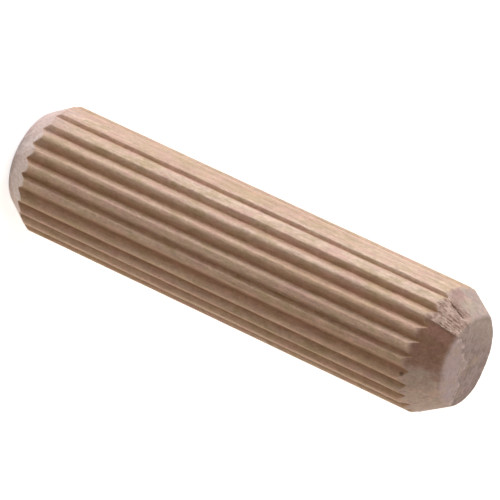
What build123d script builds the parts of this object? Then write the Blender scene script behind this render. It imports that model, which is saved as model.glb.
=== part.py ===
from build123d import *
from math import pi, sqrt
import os

# Fluted wooden dowel pin of the 8 mm by 30 mm size, cut from one bar of ribbed wood.
# It stands on its lower end: +Z runs along the pin, and the origin is the centre of the lower end face.
# All sizes are in millimetres.

# Body
length = 30.0              # over both end faces
diameter = 7.8             # over the crests of the ribs

# Flutes, straight and even, all round the body
flute_count = 24
flute_depth = 0.31         # from a crest to the point of the V, before it is rounded
flute_bottom_radius = 0.07
rib_land = 0.28            # width of each crest between two flutes
rib_edge_radius = 0.05     # rounding of the two edges of a crest
first_flute_angle = -89.3  # degrees from +X towards +Y

# Lower end, the rounder of the two
lower_chamfer_length = 2.1
lower_chamfer_drop = 1.13  # how far the chamfer falls in towards the axis
lower_corner_radius = 1.1

# Upper end, cut sharper
upper_chamfer_length = 1.95
upper_chamfer_drop = 1.08
upper_corner_radius = 0.3

# How far the cutting shapes reach past the crests
cut_margin = 0.5

radius = diameter / 2
flute_pitch = pi * diameter / flute_count


def chamfer_line(face_height, drop, rise):
    """Points of one chamfer, from the end face's corner out past the crests."""
    overrun = 1 + cut_margin / drop
    return [
        (radius - drop, face_height),
        (radius + cut_margin, face_height + rise * overrun),
    ]


# One flute: a V whose point is rounded
half_mouth = (flute_pitch - rib_land) / 2
mouth_x = sqrt(radius**2 - half_mouth**2)
bottom_x = radius - flute_depth
outer_x = radius + cut_margin
outer_half_width = half_mouth * (outer_x - bottom_x) / (mouth_x - bottom_x)

with BuildSketch() as flute:
    with BuildLine():
        Polyline(
            (bottom_x, 0),
            (outer_x, outer_half_width),
            (outer_x, -outer_half_width),
            close=True,
        )
    make_face()
    fillet(flute.vertices().sort_by(Axis.X)[0], radius=flute_bottom_radius)

# Cross-section of the ribbed bar
with BuildSketch() as bar_section:
    Circle(radius)
    with PolarLocations(0, flute_count, start_angle=first_flute_angle):
        add(flute.sketch, mode=Mode.SUBTRACT)
    fillet(
        bar_section.vertices().group_by(SortBy.DISTANCE)[-1],
        radius=rib_edge_radius,
    )

# Half outline that the end cutters leave, from the lower face to the upper one
lower_chamfer = chamfer_line(0, lower_chamfer_drop, lower_chamfer_length)
upper_chamfer = chamfer_line(length, upper_chamfer_drop, -upper_chamfer_length)

with BuildSketch(Plane.XZ) as trim_outline:
    with BuildLine():
        Polyline(
            (0, 0),
            *lower_chamfer,
            *reversed(upper_chamfer),
            (0, length),
            close=True,
        )
    make_face()
    fillet(
        trim_outline.vertices().group_by(Axis.Y)[0].sort_by(Axis.X)[-1],
        radius=lower_corner_radius,
    )
    fillet(
        trim_outline.vertices().group_by(Axis.Y)[-1].sort_by(Axis.X)[-1],
        radius=upper_corner_radius,
    )

with BuildPart() as dowel_pin:
    add(bar_section.sketch)
    extrude(amount=length)
    add(trim_outline.sketch)
    revolve(axis=Axis.Z, mode=Mode.INTERSECT)

os.makedirs("parts", exist_ok=True)
dowel_pin.part.label = "dowel_pin"
export_step(dowel_pin.part, "parts/dowel_pin.step")
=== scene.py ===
# Fluted beech dowel pin, standing on its rounder end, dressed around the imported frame
import math
import random

import bpy
from mathutils import Matrix, Vector


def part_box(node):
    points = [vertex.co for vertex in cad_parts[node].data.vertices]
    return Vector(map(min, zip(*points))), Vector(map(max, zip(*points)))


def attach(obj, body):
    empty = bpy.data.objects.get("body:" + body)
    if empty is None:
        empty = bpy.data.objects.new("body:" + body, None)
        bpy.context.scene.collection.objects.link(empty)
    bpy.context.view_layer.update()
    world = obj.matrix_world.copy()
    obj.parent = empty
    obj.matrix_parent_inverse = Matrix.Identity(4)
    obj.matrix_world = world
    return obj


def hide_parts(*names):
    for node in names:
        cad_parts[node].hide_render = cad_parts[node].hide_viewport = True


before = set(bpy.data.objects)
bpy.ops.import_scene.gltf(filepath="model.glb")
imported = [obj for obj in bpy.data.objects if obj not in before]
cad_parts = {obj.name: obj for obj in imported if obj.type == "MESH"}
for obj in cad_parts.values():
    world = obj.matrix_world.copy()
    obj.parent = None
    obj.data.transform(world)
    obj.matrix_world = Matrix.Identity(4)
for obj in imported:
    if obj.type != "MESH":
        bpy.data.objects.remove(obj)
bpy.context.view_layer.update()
mm = 0.001

lowCorner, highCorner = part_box("dowel_pin")
pinLength = highCorner.z - lowCorner.z
pinRadius = max(Vector(v.co.xy).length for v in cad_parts["dowel_pin"].data.vertices)
lengthInMm = pinLength / mm
radiusInMm = pinRadius / mm
halfway = (0.45, 0.55)  # shares of the length between which the two ends' settings change over
print("frame: length", round(lengthInMm, 2), "radius", round(radiusInMm, 3))


# One output of a node, so that maths on it can be written as maths
class Value:
    def __init__(self, tree, socket):
        self.tree = tree
        self.socket = socket

    def math(self, operation, *others, first=None):
        terms = [self if first is None else first, *others]
        return self.tree.add("ShaderNodeMath", {"operation": operation}, dict(enumerate(terms)))

    def __add__(self, other):
        return self.math("ADD", other)

    def __radd__(self, other):
        return self.math("ADD", other)

    def __sub__(self, other):
        return self.math("SUBTRACT", other)

    def __rsub__(self, other):
        return self.math("SUBTRACT", self, first=other)

    def __mul__(self, other):
        return self.math("MULTIPLY", other)

    def __rmul__(self, other):
        return self.math("MULTIPLY", other)

    def __truediv__(self, other):
        return self.math("DIVIDE", other)

    def __rtruediv__(self, other):
        return self.math("DIVIDE", self, first=other)

    def __pow__(self, other):
        return self.math("POWER", other)

    def __rpow__(self, other):
        return self.math("POWER", self, first=other)

    def __mod__(self, other):
        return self.math("MODULO", other)

    def __rmod__(self, other):
        return self.math("MODULO", self, first=other)

    def __abs__(self):
        return self.math("ABSOLUTE")

    def output(self, name):  # another output of the same node
        return Value(self.tree, self.socket.node.outputs[name])

    def between(self, low, high, toLow=0.0, toHigh=1.0, curve="SMOOTHSTEP"):
        ends = {"From Min": low, "From Max": high, "To Min": toLow, "To Max": toHigh}
        settings = {"interpolation_type": curve}
        return self.tree.add("ShaderNodeMapRange", settings, {"Value": self, **ends})

    def band(self, low, high, soft):  # 1 from low to high, fading over soft on both sides
        rise = self.between(low - soft, low + soft)
        return rise * (1.0 - self.between(high - soft, high + soft))


# A node tree, for shaders and geometry alike
class Tree:
    def __init__(self, nodeTree):
        self.tree = nodeTree
        self.tree.nodes.clear()

    @staticmethod
    def find(sockets, key):
        live = [s for s in sockets if s.enabled]
        return live[key] if isinstance(key, int) else next(s for s in live if s.name == key)

    def add(self, kind, settings=None, inputs=None, output=0):
        node = self.tree.nodes.new(kind)
        for key, setting in (settings or {}).items():
            setattr(node, key, setting)
        for key, value in (inputs or {}).items():
            target = self.find(node.inputs, key)
            if isinstance(value, Value):
                self.tree.links.new(value.socket, target)
            else:
                target.default_value = value
        return Value(self, self.find(node.outputs, output)) if node.outputs else node

    def vector(self, operation, *terms):
        return self.add("ShaderNodeVectorMath", {"operation": operation}, dict(enumerate(terms)))

    def scaled(self, vector, sizes):  # by a size for each axis
        return self.vector("MULTIPLY", vector, sizes)

    def times(self, vector, factor):  # by one number
        inputs = {0: vector, "Scale": factor}
        return self.add("ShaderNodeVectorMath", {"operation": "SCALE"}, inputs)

    def combine(self, x, y, z):
        return self.add("ShaderNodeCombineXYZ", inputs={"X": x, "Y": y, "Z": z})

    def separate(self, vector):
        parts = self.add("ShaderNodeSeparateXYZ", inputs={0: vector})
        return [parts.output(axis) for axis in "XYZ"]

    def noise(self, vector, scale, detail=2.0, roughness=0.5):
        inputs = {"Vector": vector, "Scale": scale, "Detail": detail, "Roughness": roughness}
        return self.add("ShaderNodeTexNoise", {"noise_dimensions": "3D"}, inputs, "Fac")

    def centred(self, vector, *noise):  # a noise about nought
        return self.noise(vector, *noise) - 0.5

    def mix(self, factor, a, b, blend="MIX"):
        settings = {"data_type": "RGBA", "blend_type": blend}
        return self.add("ShaderNodeMix", settings, {"Factor": factor, "A": a, "B": b}, "Result")


def rgb(red, green, blue):  # a colour as it looks on screen, to Blender's linear one
    return tuple(((c / 255 + 0.055) / 1.055) ** 2.4 for c in (red, green, blue)) + (1.0,)


# Ends of the pin, as cut: neither chamfer is quite centred on the pin
lowerEnd = {
    "length": 1.66 * mm,
    "drop": 1.09 * mm,
    "corner": 0.65 * mm,
    "aside": (-0.12 * mm, 0.12 * mm),
}
upperEnd = {
    "length": 1.92 * mm,
    "drop": 1.19 * mm,
    "corner": 0.3 * mm,
    "aside": (-0.11 * mm, 0.16 * mm),
    "wander": 0.16 * mm,
    "wanderNoise": (2.2, 2.0),     # scale and detail
    "flatAngle": math.radians(-150.0),  # of a flat spot on its edge
    "flatDepth": 0.27 * mm,
    "flatFrom": 0.45,              # cosine of the angle to its middle at which it starts
}
ends = {
    "asideFull": 0.6,              # share of the radius from which an end is fully moved aside
    "cutEdge": (-0.012 * mm, 0.02 * mm),  # softness of the line between ribs and chamfers
    "overrun": 0.3 * mm,           # how far the chamfers are followed past the crests
}
rows = {"face": 22, "corner": 8, "chamfer": 22, "teeth": 20, "body": 40}  # along the outline
weldWithin = 0.0004 * mm

flutes = {
    "count": 24,
    "wide": 10.7,            # degrees
    "depth": 0.29 * mm,
    "edgeRounding": 0.08,    # shares of half a flute's width
    "bottomRounding": 0.06,
    "flankGain": 1.06,       # the flanks are this much steeper, so they meet before the bottom
    "landTaken": 0.4,        # share of the land beside it that a flute's rounding may take
    "toothReach": 1.5,       # flute depths below the crests, where the teeth start
    "paintedLitFlank": 0.6,      # painted light: share of the flute's darkening kept on the flank after the bottom, for flutes whose bottom lies up to here, in degrees from the camera's side
    "paintedLitTo": 10.0,          # up to here, in degrees from the camera's side
    "wobble": math.radians(0.35),
    "wobbleNoise": (4.0, 2.0),
    "unevenness": 0.014 * mm,
    "unevenNoise": (2.3, 1.5),
    "settled": 0.65,         # share of the unevenness by which the ribs sit lower
    "waveLength": 7 * mm,    # of the noises, along the pin
    "seed": 7,
}
hiddenFlutes = {  # how far they vary
    "angle": 0.5,            # degrees
    "wide": 0.8,
    "lean": 0.7,
    "depth": 0.03 * mm,
    "sunk": 0.03 * mm,
    "lastDepth": 0.25,       # share of the depth where the die barely touched,
    "deeper": 0.22,          # and how much each flute away from there adds
}
# The flutes that the photograph shows: from, bottom and to in degrees from the camera's side,
# depth, and how far the rib after it starts below the crests. They run out towards -X, where the
# die barely touched.
shownFlutes = (
    (-69.1, -63.8, -58.5, 0.03 * mm, 0.0),
    (-50.1, -47.8, -44.3, 0.19 * mm, 0.08 * mm),
    (-34.4, -29.7, -22.6, 0.29 * mm, 0.0),
    (-19.9, -13.0, -7.6, 0.34 * mm, 0.0),
    (-4.4, 2.0, 6.5, 0.32 * mm, 0.0),
    (11.6, 16.6, 20.4, 0.31 * mm, 0.0),
    (25.4, 31.6, 37.6, 0.32 * mm, 0.0),
    (40.4, 46.0, 51.6, 0.30 * mm, 0.0),
    (54.0, 59.0, 64.4, 0.25 * mm, 0.0),
    (68.8, 74.0, 80.0, 0.30 * mm, 0.0),
)


def everyFlute():
    chance = random.Random(flutes["seed"])
    firstBottom, lastBottom = shownFlutes[0][1], shownFlutes[-1][1]
    hidden = flutes["count"] - len(shownFlutes)
    pitch = (firstBottom + 360 - lastBottom) / (hidden + 1)
    found = list(shownFlutes)

    def spread(name):
        return chance.uniform(-hiddenFlutes[name], hiddenFlutes[name])

    for i in range(1, hidden + 1):
        bottom = lastBottom + pitch * i + spread("angle")
        half = (flutes["wide"] + spread("wide")) / 2
        lean = spread("lean")
        depth = flutes["depth"] + spread("depth")
        away = hidden + 1 - i
        depth *= min(1.0, hiddenFlutes["lastDepth"] + away * hiddenFlutes["deeper"])
        sunk = chance.uniform(0.0, hiddenFlutes["sunk"])
        found.append((bottom - half - lean, bottom, bottom + half - lean, depth, sunk))
    return found


def softLower(a, b, softness):  # the lower of two numbers, rounded where they meet
    overlap = max(softness - abs(a - b), 0.0) / softness
    return min(a, b) - overlap * overlap * softness / 4


# Section of the ribbed rod, unrolled: angle, distance from the axis and number of the rib, and
# beside them how deep in a flute each point lies, less on the flanks towards the key lamp as
# painted light
def ribbedSection():
    steps = (-0.2, -0.08, 0.0, 0.08, 0.2, 0.42, 0.64, 0.78, 0.9, 1.0)  # from a rib to the bottom
    cuts = everyFlute()
    points, depths = [], []

    def place(degrees, fromEdge, depth, below, rib, dark=1.0):
        share = -softLower(-fromEdge, 0.0, flutes["edgeRounding"] * 2)
        share = softLower(share * flutes["flankGain"], 1.0, flutes["bottomRounding"] * 2)
        points.append((math.radians(degrees - 90), pinRadius - depth * share - below, rib))
        depths.append(share * depth / flutes["depth"] * dark)

    for number, (start, bottom, end, depth, sunk) in enumerate(cuts):
        sunkBefore = cuts[number - 1][4]
        landBefore = (start - cuts[number - 1][2]) % 360
        landAfter = (cuts[(number + 1) % len(cuts)][0] - end) % 360
        for x in steps:
            inwards = max(x * (bottom - start), -flutes["landTaken"] * landBefore)
            below = sunkBefore * max(0.0, -inwards / landBefore)
            place(start + inwards, inwards / (bottom - start), depth, below, number)
        # painted light: the flanks turned to the key lamp keep less of the flute's darkening
        dark = flutes["paintedLitFlank"] if bottom < flutes["paintedLitTo"] else 1.0
        for x in reversed(steps[:-1]):
            inwards = max(x * (end - bottom), -flutes["landTaken"] * landAfter)
            rise = 1.0 - x if x > 0 else 1.0 + inwards / landAfter
            place(end - inwards, inwards / (end - bottom), depth, sunk * rise, number + 1, dark)
        place(end + landAfter / 2, -1.0, 0.0, sunk / 2, number + 1)
    first = points[0]
    points.append((first[0] + 2 * math.pi, first[1], first[2] + len(cuts)))
    depths.append(depths[0])
    return points, depths


# From the middle of an end face out past the crests: distance from the axis, height above the face
def endOutline(end):
    slope = math.atan2(end["drop"], end["length"])
    turn = math.pi / 2 - slope
    meet = pinRadius - end["drop"]
    flat = meet - end["corner"] * math.tan(turn / 2)
    points = [(flat * i / rows["face"], 0.0) for i in range(rows["face"])]
    for i in range(rows["corner"] + 1):
        a = turn * i / rows["corner"]
        points.append((flat + end["corner"] * math.sin(a), end["corner"] * (1 - math.cos(a))))
    startR, startZ = points[-1]
    toothR = pinRadius - flutes["toothReach"] * flutes["depth"]
    outerR = pinRadius + ends["overrun"]
    grow = (end["length"] - startZ) / (pinRadius - startR)
    for count, fromR, toR in ((rows["chamfer"], startR, toothR), (rows["teeth"], toothR, outerR)):
        for i in range(1, count + 1):
            r = fromR + (toR - fromR) * i / count
            points.append((r, startZ + (r - startR) * grow))
    return points


def pinOutline():
    lower = [(r, lowCorner.z + z) for r, z in endOutline(lowerEnd)]
    upper = [(r, highCorner.z - z) for r, z in reversed(endOutline(upperEnd))]
    bodyStart, bodyEnd = lower[-1][1], upper[0][1]
    step = (bodyEnd - bodyStart) / rows["body"]
    outerR = pinRadius + ends["overrun"]
    body = [(outerR, bodyStart + step * i) for i in range(1, rows["body"])]
    return [(r, 0, z) for r, z in lower + body + upper]


def chain(name, points, depths=()):  # an object that only carries a row of points
    mesh = bpy.data.meshes.new(name)
    mesh.from_pydata(points, [(i, i + 1) for i in range(len(points) - 1)], [])
    if depths:
        mesh.attributes.new("flute", "FLOAT", "POINT").data.foreach_set("value", depths)
    carrier = bpy.data.objects.new(name, mesh)
    bpy.context.scene.collection.objects.link(carrier)
    return carrier


# Where the cutter tore the upper chamfer: degrees from the camera's side, and mm below its face
torn = {
    "from": -51.0,
    "to": -21.0,
    "edge": 0.7,               # softness of its two sides
    "starts": (0.05, 0.25),
    "lean": 1.3,               # degrees for each mm further down,
    "leanFrom": 1.0,           # counted from here
    "stretch": 2.2,            # of the pattern along the pin
    "raggedness": 1.6,         # degrees
    "raggedNoise": (0.8, 3.0, 0.6),
    "rough": 0.09 * mm,
    "roughStretch": (1.0, 0.35, 1.0),
    "roughNoise": (0.75, 3.0, 0.65),
    "roughMiddle": 0.45,
    "proud": 0.03 * mm,
}
crack = {
    "depth": 0.16 * mm,
    "angle": -45.5,            # of the one open crack, at its middle
    "lean": -2.3,              # degrees over its length
    "from": 0.50,              # mm below the face
    "to": 1.42,
    "fade": 0.2,
    "reach": 1.28,             # degrees from its middle to where it ends
    "bent": 0.3,               # share of the raggedness that it follows
    "fine": 0.3,               # depth of the small cracks beside it, as a share of its own
    "fineHalf": 0.04,
    "fineStretch": (0.5, 0.32, 1.0),
    "brokenStretch": (0.22, 1.3, 1.0),  # of the pattern that breaks the small cracks up
    "brokenBy": (0.48, 0.62),
    "noise": (1.0, 1.0),
    "clearOfFibres": 3.0,      # how strongly it keeps fibres away
}
fibres = {
    "density": 3.4e7,          # for each square metre
    "length": 0.5 * mm,
    "radius": 0.018 * mm,
    "tip": 0.25,               # share of the radius
    "sides": 4,
    "segments": 2,
    "lift": (0.05, 0.3),       # away from the wood, for a length of 1 along the pin
    "skew": (-0.1, 0.1),
    "wide": (0.6, 1.6),        # times its own size
    "flat": 0.7,
    "long": (0.4, 1.3),
}
# The end face: on its side towards +X and the camera the saw broke out, and that part slopes away
breakout = {
    "farSide": 0.2 * mm,
    "corner": (-1.1 * mm, -2.6 * mm),
    "slant": (0.88, -0.47),
    "notch": 0.8 * mm,         # a bay in its edge: how far towards +X, how wide and how deep
    "notchReach": (0.05 * mm, 0.6 * mm),
    "notchDepth": 0.9 * mm,
    "rounding": 0.5 * mm,
    "coarseNoise": (1.6, 4.0, 0.65),
    "coarse": 1.1 * mm,
    "fineNoise": (3.6, 2.0),
    "fine": 0.5 * mm,
    "edge": (-0.03 * mm, 0.12 * mm),
    "ridge": (-0.11 * mm, 0.04 * mm, 0.07 * mm),
    "fall": 0.07 * mm,
    "fallReach": 1.8 * mm,
    "reliefNoise": (2.1, 2.0),
    "reliefBelow": 0.6,
    "relief": 0.06 * mm,
    "backFrom": (-1.0 * mm, 2.6 * mm),  # the far side of the face falls a little too
    "backFall": 0.05 * mm,
    "faceDepth": (0.02, 0.4),  # mm below the top that still count as the face
}


# Fibres lying along the grain with their tips lifted, none of them over the cracks
def tornFibres(t, ask, named, point, smooth):
    rooted = (named("torn") - named("crack") * crack["clearOfFibres"]).math("MAXIMUM", 0.0)
    seats = t.add(
        "GeometryNodeDistributePointsOnFaces", {"distribute_method": "RANDOM"},
        {"Mesh": smooth, "Density": rooted * ask("Fibre Density"), "Seed": ask("Seed")},
    )
    outward = seats.output("Normal")

    def chance(limits, number):
        inputs = {"Min": limits[0], "Max": limits[1], "Seed": number}
        return t.add("FunctionNodeRandomValue", {"data_type": "FLOAT"}, inputs)

    alongZ = t.vector("DOT_PRODUCT", outward, (0.0, 0.0, 1.0))
    lifted = t.times(outward, chance(fibres["lift"], 1) - alongZ)
    sideways = t.combine(chance(fibres["skew"], 2), chance(fibres["skew"], 3), 1.0)
    heading = t.vector("ADD", sideways, lifted)
    turned = t.add("FunctionNodeAlignRotationToVector", {"axis": "Z"}, {"Vector": heading})
    radius = ask("Fibre Radius")
    fibre = t.add(
        "GeometryNodeMeshCone", {"fill_type": "NGON"},
        {
            "Vertices": fibres["sides"], "Side Segments": fibres["segments"],
            "Radius Top": radius * fibres["tip"], "Radius Bottom": radius,
            "Depth": ask("Fibre Length"),
        },
    )
    stretch = t.combine(chance(fibres["wide"], 4), fibres["flat"], chance(fibres["long"], 5))
    inputs = {"Points": seats, "Instance": fibre, "Rotation": turned, "Scale": stretch}
    placed = t.add("GeometryNodeInstanceOnPoints", inputs=inputs)
    loose = t.add("GeometryNodeRealizeInstances", inputs={"Geometry": placed})
    x, y, z = t.separate(point)
    out = t.vector("LENGTH", t.scaled(point, (1.0, 1.0, 0.0)))
    heldIn = (ask("Radius") / out).math("MINIMUM", 1.0)
    held = t.combine(x * heldIn, y * heldIn, z.math("MINIMUM", highCorner.z))
    return t.add("GeometryNodeSetPosition", inputs={"Geometry": loose, "Position": held})


# Turns the outline round the axis, with the ribbed section, and tears the upper chamfer
def ribbedPinTree():
    group = bpy.data.node_groups.new("ribbedPin", "GeometryNodeTree")
    wanted = {
        "Geometry": ("Outline",),
        "Object": ("Section",),
        "Float": (
            "Radius", "Wobble", "Unevenness", "Torn From", "Torn To", "Torn Depth", "Crack Depth",
            "Fibre Density", "Fibre Length", "Fibre Radius", "Fall",
        ),
        "Int": ("Seed",),
        "Material": ("Wood",),
    }
    for kind, names in wanted.items():
        for name in names:
            group.interface.new_socket(name, in_out="INPUT", socket_type="NodeSocket" + kind)
    group.interface.new_socket("Pin", in_out="OUTPUT", socket_type="NodeSocketGeometry")
    t = Tree(group)
    given = t.add("NodeGroupInput")
    point = t.add("GeometryNodeInputPosition")

    def ask(name):
        return given.output(name)

    def named(name):
        kind = {"data_type": "FLOAT"}
        return t.add("GeometryNodeInputNamedAttribute", kind, {"Name": name}, "Attribute")

    def sampled(geometry, kind, value, number):
        settings = {"data_type": kind, "domain": "POINT"}
        inputs = {"Geometry": geometry, "Value": value, "Index": number}
        return t.add("GeometryNodeSampleIndex", settings, inputs)

    def pointCount(geometry):
        kind = {"component": "MESH"}
        return t.add("GeometryNodeAttributeDomainSize", kind, {0: geometry})

    def stored(geometry, name, amount):
        settings = {"data_type": "FLOAT", "domain": "POINT"}
        inputs = {"Geometry": geometry, "Name": name, "Value": amount}
        return t.add("GeometryNodeStoreNamedAttribute", settings, inputs)

    # one column of the grid for each point of the section, one row for each of the outline
    outline = ask("Outline")
    section = t.add("GeometryNodeObjectInfo", inputs={"Object": ask("Section")}, output="Geometry")
    rowCount, columnCount = pointCount(outline), pointCount(section)
    gridSize = {"Vertices X": columnCount, "Vertices Y": rowCount}
    grid = t.add("GeometryNodeMeshGrid", inputs=gridSize)
    index = t.add("GeometryNodeInputIndex")
    column = (index / rowCount + 0.0001).math("FLOOR")  # a little more, so that it can't fall short
    row = index - column * rowCount
    plainAngle, sectionR, rib = t.separate(sampled(section, "FLOAT_VECTOR", point, column))
    outlineR, _, height = t.separate(sampled(outline, "FLOAT_VECTOR", point, row))
    inFlute = sampled(section, "FLOAT", named("flute"), column)
    waves = height / flutes["waveLength"]
    around = t.combine(plainAngle.math("COSINE"), plainAngle.math("SINE"), waves)
    angle = plainAngle + t.centred(around, *flutes["wobbleNoise"]) * 2.0 * ask("Wobble")
    cosine, sine = angle.math("COSINE"), angle.math("SINE")
    degrees = cosine.math("ARCTAN2", sine * -1.0) * (180 / math.pi)

    # the chamfers' own middles
    upper = height.between(*(pinLength * share for share in halfway), curve="LINEAR")
    asideX, asideY = [
        low + upper * (high - low) for low, high in zip(lowerEnd["aside"], upperEnd["aside"])
    ]
    outwards = outlineR.between(0.0, pinRadius * ends["asideFull"], curve="LINEAR")
    level = t.scaled(around, (1.0, 1.0, 0.0))
    wander = t.centred(level, *upperEnd["wanderNoise"]) * upperEnd["wander"]
    flatAngle = upperEnd["flatAngle"]
    facing = cosine * math.sin(flatAngle) - sine * math.cos(flatAngle)
    worn = facing.between(upperEnd["flatFrom"], 1.0) * upperEnd["flatDepth"] * upper
    cutR = outlineR + (asideX * cosine + asideY * sine + wander * upper - worn) * outwards

    sway = t.centred(around, *flutes["unevenNoise"])
    uneven = ask("Unevenness")
    ribbedR = sectionR + sway * 2.0 * uneven - uneven * flutes["settled"]
    cut = (ribbedR - cutR).between(*ends["cutEdge"])

    # torn wood: ragged along the grain, standing a little proud, with one open crack and fine ones
    below = (highCorner.z - height) / mm
    spot = t.combine(degrees, below * torn["stretch"], 0.0)
    ragged = t.centred(spot, *torn["raggedNoise"]) * 2.0 * torn["raggedness"]
    leaning = degrees - (below - torn["leanFrom"]) * torn["lean"]
    tornShare = (leaning + ragged).band(ask("Torn From"), ask("Torn To"), torn["edge"])
    tornShare = tornShare * upper * cut * below.between(*torn["starts"])
    rough = t.noise(t.scaled(spot, torn["roughStretch"]), *torn["roughNoise"]) - torn["roughMiddle"]
    crackMiddle = (crack["from"] + crack["to"]) / 2
    lean = crack["lean"] / (crack["to"] - crack["from"])
    off = degrees + ragged * crack["bent"] - crack["angle"] - (below - crackMiddle) * lean
    openCrack = 1.0 - abs(off).between(0.0, crack["reach"])
    openCrack = openCrack * below.band(crack["from"], crack["to"], crack["fade"])
    split = abs(t.centred(t.scaled(spot, crack["fineStretch"]), *crack["noise"]))
    stretches = t.noise(t.scaled(spot, crack["brokenStretch"]), *crack["noise"])
    stretches = stretches.between(*crack["brokenBy"])
    fineCracks = (1.0 - split.between(0.0, crack["fineHalf"])) * stretches * tornShare
    fineCracks = fineCracks * crack["fine"]
    crackShare = openCrack.math("MAXIMUM", fineCracks) * upper * cut
    tornLift = tornShare * (torn["proud"] + rough * 2.0 * ask("Torn Depth"))
    finalR = ribbedR.math("MINIMUM", cutR) + tornLift - crackShare * ask("Crack Depth")

    # the end face slopes away where it broke out, from a low ridge
    px, py = finalR * cosine, finalR * sine
    notch = 1.0 - abs(px - breakout["notch"]).between(*breakout["notchReach"])
    fromSide = py * -1.0 + breakout["farSide"] - notch * breakout["notchDepth"]
    fromSlant = (px - breakout["corner"][0]) * breakout["slant"][0]
    fromSlant = fromSlant + (py - breakout["corner"][1]) * breakout["slant"][1]
    sawn = t.combine(px / mm, py / mm, 0.0)
    inside = fromSide.math("SMOOTH_MIN", fromSlant, breakout["rounding"])
    inside = inside + t.centred(sawn, *breakout["coarseNoise"]) * breakout["coarse"]
    inside = inside + t.centred(sawn, *breakout["fineNoise"]) * breakout["fine"]
    onFace = upper * (1.0 - below.between(*breakout["faceDepth"]))
    broken = inside.between(*breakout["edge"]) * onFace
    ridge = inside.band(*breakout["ridge"]) * onFace
    fall = inside.between(0.0, breakout["fallReach"]) * onFace * ask("Fall")
    relief = t.noise(sawn, *breakout["reliefNoise"]) - breakout["reliefBelow"]
    relief = relief.math("MINIMUM", 0.0) * onFace * breakout["relief"]
    backFall = py.between(*breakout["backFrom"]) * onFace * breakout["backFall"]
    finalZ = height - fall - backFall + relief * (1.0 - ridge)
    place = {"Geometry": grid, "Position": t.combine(px, py, finalZ)}
    shaped = t.add("GeometryNodeSetPosition", inputs=place)

    # what the material reads
    perRib = {"Min": 0.0, "Max": 1.0, "ID": rib % flutes["count"], "Seed": ask("Seed")}
    tint = t.add("FunctionNodeRandomValue", {"data_type": "FLOAT"}, perRib)
    kept = {
        "cut": cut, "flute": inFlute, "tint": tint,
        "torn": tornShare, "crack": crackShare, "broken": broken, "ridge": ridge,
    }
    for name, amount in kept.items():
        shaped = stored(shaped, name, amount)
    weld = {"Geometry": shaped, "Distance": weldWithin}
    welded = t.add("GeometryNodeMergeByDistance", inputs=weld)
    smoothing = {"Geometry": welded, "Shade Smooth": True}
    smooth = t.add("GeometryNodeSetShadeSmooth", inputs=smoothing)
    loose = stored(tornFibres(t, ask, named, point, smooth), "fibre", 1.0)
    joined = t.add("GeometryNodeJoinGeometry")
    for part in (loose, smooth):
        t.tree.links.new(part.socket, joined.socket.node.inputs[0])
    real = t.add("GeometryNodeRealizeInstances", inputs={"Geometry": joined})
    wood = {"Geometry": real, "Material": ask("Wood")}
    dressed = t.add("GeometryNodeSetMaterial", inputs=wood)
    t.add("NodeGroupOutput", inputs={"Pin": dressed})
    return group


# Runs a tree on a carrier object and keeps the result as a plain mesh
def bakeTree(carrier, group, inputs, name):
    modifier = carrier.modifiers.new("nodes", "NODES")
    modifier.node_group = group
    for item in group.interface.items_tree:
        if item.item_type == "SOCKET" and item.in_out == "INPUT" and item.name in inputs:
            modifier[item.identifier] = inputs[item.name]
    carrier.update_tag()
    graph = bpy.context.evaluated_depsgraph_get()
    settings = {"preserve_all_data_layers": True, "depsgraph": graph}
    mesh = bpy.data.meshes.new_from_object(carrier.evaluated_get(graph), **settings)
    mesh.name = name
    carrier.modifiers.remove(modifier)
    bpy.data.objects.remove(carrier)
    piece = bpy.data.objects.new(name, mesh)
    bpy.context.scene.collection.objects.link(piece)
    return piece


beech = {
    "pale": rgb(219, 197, 181),
    "tan": rgb(201, 171, 149),
    "pink": rgb(213, 180, 169),
    "olive": rgb(196, 175, 147),
    "pressedAndShaded": (0.60, 0.49, 0.41, 1.0),   # how far the die darkened the flutes, together with painted shade deeper in them
    # the far end: paler end grain, made paler still as painted light from the floor side
    "farEndWithPaintedLight": rgb(243, 232, 234),
    "nearChamfer": rgb(175, 156, 152),
    "chamferOlive": rgb(170, 157, 150),
    "nearFace": rgb(178, 162, 164),
    "faceDark": rgb(150, 133, 134),
    "faceLight": rgb(194, 179, 175),
    "faceRosy": rgb(166, 140, 142),
    "faceBroken": rgb(200, 182, 191),
    # painted highlight along the ridge of the breakout
    "ridge": rgb(220, 203, 206),
    "tornWood": rgb(199, 177, 170),
    "tornDark": rgb(163, 136, 126),
    "fibre": rgb(226, 206, 196),
    # painted shade inside the cracks; also the colour of dark flecks and blotches
    "crack": rgb(92, 64, 50),
    "scorchAndShade": rgb(127, 98, 79),
    # colours of the near chamfer's dark patch: scorch with painted shade, lighter at its edge as
    # painted bounce light
    "scorchShadeRed": rgb(134, 100, 89),
    "scorchShadeEdge": rgb(156, 126, 114),
    "roughness": 0.62,
    "specular": 0.3,
    "bumpHeight": 0.03 * mm,
}
# Noises of the wood: stretch, scale, detail, roughness, and how far it is moved in mm
grain = {
    "streaks": ((1.0, 1.0, 0.035), 1.6, 3.0, 0.5),
    "fine": ((1.0, 1.0, 0.12), 6.0, 3.0, 0.5),
    "grit": ((1.0, 1.0, 0.5), 9.0, 3.0, 0.65),
    "patches": ((0.8, 0.8, 0.4), 0.9, 2.0, 0.5),
    "mottle": ((1.0, 1.0, 0.6), 2.6, 2.0, 0.6),
    "rosy": ((1.0, 1.0, 0.5), 1.1, 1.0, 0.5, (40.0, 0.0, 0.0)),
    "tinge": ((1.0, 1.0, 0.6), 2.4, 1.0, 0.5, (0.0, 30.0, 0.0)),
    "flecks": ((1.0, 1.0, 0.1), 13.0, 1.0, 0.5),
    "blotches": ((1.0, 0.6, 1.0), 1.8, 4.0, 0.65),
}
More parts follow.
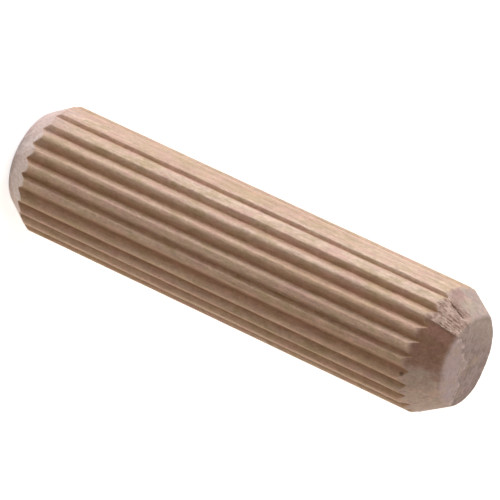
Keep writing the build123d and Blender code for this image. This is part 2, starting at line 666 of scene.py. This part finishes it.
# Layers of colour: what drives each, where it starts and is full, its strength and its colour
layers = {
    "ribs": (
        ("streaks", 0.35, 0.65, 1.0, "pale"),
        ("tinge", 0.5, 0.62, 0.9, "pink"),
        ("tinge", 0.48, 0.37, 0.8, "olive"),
    ),
    "torn": (("fine", 0.4, 0.62, 1.0, "tornWood"),),
    "chamfer": (
        ("mottle", 0.42, 0.64, 1.0, "chamferOlive"),
        ("blotches", 0.5, 0.68, 0.45, "pink"),
        ("blotches", 0.48, 0.34, 0.4, "tornDark"),
    ),
    "scorchAndShade": (
        ("rosy", 0.4, 0.6, 1.0, "scorchShadeRed"),
        # painted bounce light: the patch is lighter towards +X
        ("degrees", 0.0, 20.0, 0.6, "scorchShadeEdge"),
        ("blotches", 0.52, 0.64, 0.4, "scorchShadeEdge"),
        ("blotches", 0.46, 0.34, 0.3, "crack"),
    ),
    "face": (("blotches", 0.4, 0.58, 1.0, "nearFace"),),
    "overRings": (
        ("rosy", 0.46, 0.3, 0.35, "olive"),
        ("mottle", 0.52, 0.66, 0.6, "faceRosy"),
        ("x", -0.8, -2.4, 0.75, "faceLight"),
        ("inFrom", 1.45, 1.2, 0.25, "crack"),
    ),
    "broken": (
        ("grit", 0.4, 0.6, 0.45, "nearFace"),
        ("blotches", 0.42, 0.62, 0.3, "olive"),
    ),
    "far": (("rosy", 0.45, 0.65, 0.25, "pink"),),
}
ribs = {
    "tinge": {"rosy": 0.55, "tinge": 0.45},  # what their tinge is made of
    "tint": 0.35,            # how much one differs from the next
    "pressedShadePower": 0.8,
    "fleckEdge": (0.62, 0.7),
    "flecks": 0.18,
}
# Dark patch on the near chamfer: scorched by the cutter, and darker as painted shade where it turns
# from the lamps
scorchAndShade = {
    "from": -21.0,           # degrees from the camera's side
    "to": 26.0,
    "fromEdge": (-0.8, 0.8),
    "toEdge": (-6.0, 4.0),
    "ragged": (12.0, 6.0, 3.0),  # how far patches, mottle and fine grain move its sides
    "rim": (-0.1, 0.28),     # mm in from the crests
}
rings = {
    "centre": (1.2, -7.0, 0.0),  # mm
    "gap": 0.42,                 # mm
    "wave": 5.0,                 # how far the mottling bends them
    "dark": 0.24,
    "olive": 0.16,
}
endFace = {
    "edge": (0.16, 0.1),     # mm below the top
    "cutEdge": (0.3, 0.7),
    "rim": (-0.06, 0.2, 0.25, 1.0),  # mm in from the crests, where its colours are weaker
    "broken": 0.9,
    "roughX": (0.9, -0.6),   # mm: towards -X the breakout is rougher
    "roughGrit": (0.46, 0.6),
    "rough": 0.3,
    # where the mottle lets the painted highlight on the ridge show
    "ridge": (0.38, 0.52),
    "crack": (0.1, 0.75),
    "fibre": 0.8,
}
# Colour spots: stains, and one on the far end that is painted light
stainsAndPaintedLight = {
    "ragged": 1.6,
    "inner": 0.4,            # shares of the radius
    "outer": 1.3,
    "spots": (  # middle in mm, radius in mm, strength and colour
        ((-3.17, -1.87, 28.6), 0.60, 0.80, rgb(168, 138, 133)),
        ((2.11, -3.05, 27.95), 0.15, 0.70, rgb(86, 58, 42)),
        # painted light: the far end stays darker on its side towards -X and the camera, paler
        # elsewhere
        ((-2.4, -2.2, 0.9), 2.0, 0.60, rgb(208, 184, 178)),
        ((-2.9, -1.4, 29.2), 0.50, 0.50, rgb(180, 168, 148)),
        ((1.67, -2.37, 29.7), 0.40, 0.50, rgb(152, 114, 98)),
        ((2.50, -2.56, 28.6), 0.45, 0.50, rgb(164, 148, 134)),
        ((2.50, -2.17, 29.0), 0.60, 0.45, rgb(178, 159, 154)),
    ),
}
shading = {"fine": 0.5, "grit": 0.7, "mottle": 0.24, "upperMottle": 0.2}
bumps = {"fine": 0.5, "grit": 0.5, "streaks": 0.3, "flecks": -0.15}  # shares of the bumps' height


def beechMaterial():
    material = bpy.data.materials.new("beech")
    material.use_nodes = True
    t = Tree(material.node_tree)
    objectPlace = t.add("ShaderNodeTexCoord", output="Object")
    place = t.scaled(objectPlace, (1 / mm, 1 / mm, 1 / mm))  # in millimetres
    x, y, z = t.separate(place)
    level = t.scaled(place, (1.0, 1.0, 0.0))
    known = {
        "x": x,
        "degrees": x.math("ARCTAN2", y * -1.0) * (180 / math.pi),  # from the camera's side
        "inFrom": radiusInMm - t.vector("LENGTH", level),          # deeper on the chamfer
    }
    for name, (stretch, scale, detail, roughness, *start) in grain.items():
        moved = t.vector("ADD", place, start[0]) if start else place
        known[name] = t.noise(t.scaled(moved, stretch), scale, detail, roughness)
    known["tinge"] = sum(known[name] * amount for name, amount in ribs["tinge"].items())
    known["flecks"] = known["flecks"].between(*ribs["fleckEdge"])
    for name in ("cut", "flute", "tint", "torn", "crack", "broken", "ridge", "fibre"):
        known[name] = t.add("ShaderNodeAttribute", {"attribute_name": name}, output="Fac")

    def layered(base, name):
        colour = beech[base] if isinstance(base, str) else base
        for driver, start, full, strength, tone in layers[name]:
            factor = known[driver].between(start, full) * strength
            colour = t.mix(factor, colour, beech[tone])
        return colour

    # ribs, pressed darker in the flutes and darkened there with painted shade, less on the flanks
    # towards the key lamp
    colour = layered("tan", "ribs")
    colour = t.mix(known["tint"] * ribs["tint"], colour, beech["tan"])
    pressedAndShaded = (known["flute"] ** ribs["pressedShadePower"]).math("MINIMUM", 1.0)
    colour = t.mix(pressedAndShaded, colour, beech["pressedAndShaded"], "MULTIPLY")
    colour = t.mix(known["flecks"] * ribs["flecks"], colour, beech["crack"])

    # near chamfer, torn, and with a scorched patch darkened further by painted shade
    chamfer = layered("nearChamfer", "chamfer")
    chamfer = t.mix(known["torn"], chamfer, layered("tornDark", "torn"))
    byPatches, byMottle, byFine = scorchAndShade["ragged"]
    edge = (known["patches"] - 0.5) * byPatches + (known["mottle"] - 0.5) * byMottle
    leaning = known["degrees"] - (lengthInMm - torn["leanFrom"] - z) * torn["lean"]
    leaning = leaning + (known["fine"] - 0.5) * byFine
    starts = leaning.between(*(scorchAndShade["from"] + soft for soft in scorchAndShade["fromEdge"]))
    stops = (known["degrees"] + edge).between(*(scorchAndShade["to"] + soft for soft in scorchAndShade["toEdge"]))
    scorchedAndShaded = starts * (1.0 - stops) * known["inFrom"].between(*scorchAndShade["rim"])
    chamfer = t.mix(scorchedAndShaded, chamfer, layered("scorchAndShade", "scorchAndShade"))

    # near face, sawn across the rings and partly broken out
    fromCentre = t.vector("DISTANCE", level, rings["centre"])
    wave = fromCentre * (2 * math.pi / rings["gap"]) + known["mottle"] * rings["wave"]
    ring = wave.math("SINE") * 0.5 + 0.5
    sawn = layered("faceDark", "face")
    sawn = t.mix(ring * rings["dark"], sawn, beech["faceDark"])
    sawn = t.mix((1.0 - ring) * rings["olive"], sawn, beech["olive"])
    sawn = layered(sawn, "overRings")
    brokenWood = layered("faceBroken", "broken")
    rough = x.between(*endFace["roughX"]) * known["grit"].between(*endFace["roughGrit"])
    brokenWood = t.mix(rough * endFace["rough"], brokenWood, beech["tornDark"])
    sawn = t.mix(known["broken"] * endFace["broken"], sawn, brokenWood)
    # painted highlight: a pale line along the ridge
    ridgeHighlight = known["ridge"] * known["mottle"].between(*endFace["ridge"])
    sawn = t.mix(ridgeHighlight, sawn, beech["ridge"])

    # both ends on the ribs
    high = z.between(*(lengthInMm * share for share in halfway))
    face = z.between(*(lengthInMm - depth for depth in endFace["edge"]))
    face = face.math("MAXIMUM", known["broken"])
    nearEnd = t.mix(face, chamfer, sawn)
    # painted shade: the cracks are painted dark
    nearEnd = t.mix(known["crack"].between(*endFace["crack"]), nearEnd, beech["crack"])
    # the far end's pale colour is partly painted light
    bothEnds = t.mix(high, layered("farEndWithPaintedLight", "far"), nearEnd)
    cut = known["cut"].between(*endFace["cutEdge"]) * known["inFrom"].between(*endFace["rim"])
    colour = t.mix(cut, colour, bothEnds)
    for middle, radius, strength, spotColour in stainsAndPaintedLight["spots"]:
        ragged = (known["mottle"] - 0.5) * radius * stainsAndPaintedLight["ragged"]
        away = t.vector("DISTANCE", place, middle) + ragged
        away = away.between(radius * stainsAndPaintedLight["inner"], radius * stainsAndPaintedLight["outer"])
        colour = t.mix((1.0 - away) * strength, colour, spotColour)
    colour = t.mix(known["fibre"] * endFace["fibre"], colour, beech["fibre"])
    shade = 1.0 + (known["fine"] - 0.5) * shading["fine"] + (known["grit"] - 0.5) * shading["grit"]
    mottling = high * shading["upperMottle"] + shading["mottle"]
    shade = shade + (known["mottle"] - 0.5) * mottling
    colour = t.times(colour, shade)

    height = sum(known[name] * amount for name, amount in bumps.items())
    relief = {"Strength": 1.0, "Distance": beech["bumpHeight"], "Height": height}
    shader = t.add(
        "ShaderNodeBsdfPrincipled",
        inputs={
            "Base Color": colour,
            "Roughness": beech["roughness"],
            "Normal": t.add("ShaderNodeBump", inputs=relief),
            "Specular IOR Level": beech["specular"],
        },
    )
    t.add("ShaderNodeOutputMaterial", inputs={"Surface": shader})
    return material


beechWood = beechMaterial()
sectionCarrier = chain("ribbedSection", *ribbedSection())
pin = bakeTree(
    chain("pinOutline", pinOutline()), ribbedPinTree(),
    {
        "Section": sectionCarrier, "Radius": pinRadius, "Wobble": flutes["wobble"],
        "Unevenness": flutes["unevenness"], "Torn From": torn["from"], "Torn To": torn["to"],
        "Torn Depth": torn["rough"], "Crack Depth": crack["depth"],
        "Fibre Density": fibres["density"], "Fibre Length": fibres["length"],
        "Fibre Radius": fibres["radius"], "Fall": breakout["fall"],
        "Seed": flutes["seed"], "Wood": beechWood,
    },
    "fluted_pin",
)
bpy.data.objects.remove(sectionCarrier)
print("pin:", len(pin.data.vertices), "points", len(pin.data.polygons), "faces")
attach(pin, "root")
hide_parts("dowel_pin")


# Camera at the photograph's angle, rolled so that the standing pin runs down to the right
view = {
    "imageSide": 500,            # pixels
    "focal": 5915,               # pixels
    "middle": (245.42, 258.05),  # where the middle of the ribbed body shows
    "radiusPixels": 68.88,       # how large the radius shows there
    "tilt": math.radians(25.40),
    "roll": math.radians(25.11),
    "sensor": 36.0,
    "clip": (0.01, 20.0),        # metres
}


def placeCamera():
    tilt, roll = view["tilt"], view["roll"]
    level, drop = math.cos(tilt), math.sin(tilt)
    along, across = math.cos(roll), math.sin(roll)
    right = Vector((-across, drop * along, level * along))
    down = Vector((along, drop * across, level * across))
    ahead = Vector((0.0, level, -drop))
    distance = view["focal"] / view["radiusPixels"] * pinRadius
    centre = view["imageSide"] / 2
    aside = [(p - centre) / view["focal"] * distance for p in view["middle"]]
    bodyLow = lowCorner.z + lowerEnd["length"]
    bodyHigh = highCorner.z - upperEnd["length"]
    middle = Vector((0, 0, (bodyLow + bodyHigh) / 2))
    place = middle - right * aside[0] - down * aside[1] - ahead * distance
    data = bpy.data.cameras.new("camera")
    data.sensor_width = view["sensor"]
    data.lens = view["focal"] / view["imageSide"] * view["sensor"]
    data.clip_start, data.clip_end = view["clip"]
    camera = bpy.data.objects.new("camera", data)
    camera.matrix_world = Matrix((right, -down, -ahead)).transposed().to_4x4()
    camera.location = place
    bpy.context.scene.collection.objects.link(camera)
    bpy.context.scene.camera = camera
    print("camera at", [round(c, 4) for c in place])


placeCamera()

lamps = {
    "key": {
        "place": (-0.298, -0.042, 0.028),
        "size": (0.24, 0.05),
        "power": 0.765,
        "colour": (0.98, 0.98, 1),
    },
    "rim": {
        "place": (0.27, 0.13, 0.04),
        "size": (0.25, 0.08),
        "power": 0.33,
        "colour": (1, 0.80, 0.58),
    },
    "top": {
        "place": (-0.03, -0.06, 0.36),
        "size": (0.20, 0.20),
        "power": 0.58,
        "colour": (1, 0.90, 0.77),
    },
}
stage = {
    "world": 0.13,
    "worldColour": (1.0, 0.79, 0.58, 1.0),
    "floorHalf": 3.0,
    "floorSeen": 0.72,         # near the pin, rising to 1 further off
    "floorFades": (0.08, 0.5),
    "floorLit": 0.92,
}
white = (1, 1, 1, 1)


def areaLight(name, settings):
    data = bpy.data.lights.new(name, "AREA")
    data.shape = "RECTANGLE"
    data.size, data.size_y = settings["size"]
    data.energy = settings["power"]
    data.color = settings["colour"]
    lamp = bpy.data.objects.new(name, data)
    lamp.location = settings["place"]
    aim = Vector((0, 0, pinLength / 2)) - lamp.location
    lamp.rotation_euler = aim.to_track_quat("-Z", "Y").to_euler()
    bpy.context.scene.collection.objects.link(lamp)


def seenDirectly(t):  # by the camera, in a gloss or through glass
    path = t.add("ShaderNodeLightPath", output="Is Camera Ray")
    seen = path.math("MAXIMUM", path.output("Is Glossy Ray"))
    return seen.math("MAXIMUM", path.output("Is Transmission Ray"))


def floorMaterial():
    material = bpy.data.materials.new("paleFloor")
    material.use_nodes = True
    t = Tree(material.node_tree)
    grey = (stage["floorLit"],) * 3 + (1.0,)
    matt = t.add("ShaderNodeBsdfDiffuse", inputs={"Color": grey})
    away = t.vector("LENGTH", t.add("ShaderNodeTexCoord", output="Object"))
    strength = seenDirectly(t) * away.between(*stage["floorFades"], stage["floorSeen"], 1.0)
    glow = t.add("ShaderNodeEmission", inputs={"Color": white, "Strength": strength})
    both = t.add("ShaderNodeAddShader", inputs={0: matt, 1: glow})
    t.add("ShaderNodeOutputMaterial", inputs={"Surface": both})
    return material


def makeStage():
    half = stage["floorHalf"]
    signs = ((-1, -1), (1, -1), (1, 1), (-1, 1))
    corners = [(x * half, y * half, lowCorner.z) for x, y in signs]
    mesh = bpy.data.meshes.new("paleFloor")
    mesh.from_pydata(corners, [], [(0, 1, 2, 3)])
    mesh.materials.append(floorMaterial())
    floor = bpy.data.objects.new("paleFloor", mesh)
    bpy.context.scene.collection.objects.link(floor)
    world = bpy.data.worlds.new("studio")
    world.use_nodes = True
    t = Tree(world.node_tree)
    seen = seenDirectly(t)
    strength = seen.between(0.0, 1.0, stage["world"], 1.0, "LINEAR")
    tone = t.mix(seen, stage["worldColour"], white)
    air = t.add("ShaderNodeBackground", inputs={"Color": tone, "Strength": strength})
    t.add("ShaderNodeOutputWorld", inputs={"Surface": air})
    bpy.context.scene.world = world
    for name, settings in lamps.items():
        areaLight(name, settings)


makeStage()
bpy.context.scene.view_settings.view_transform = "Standard"
print("stage and lights ready")
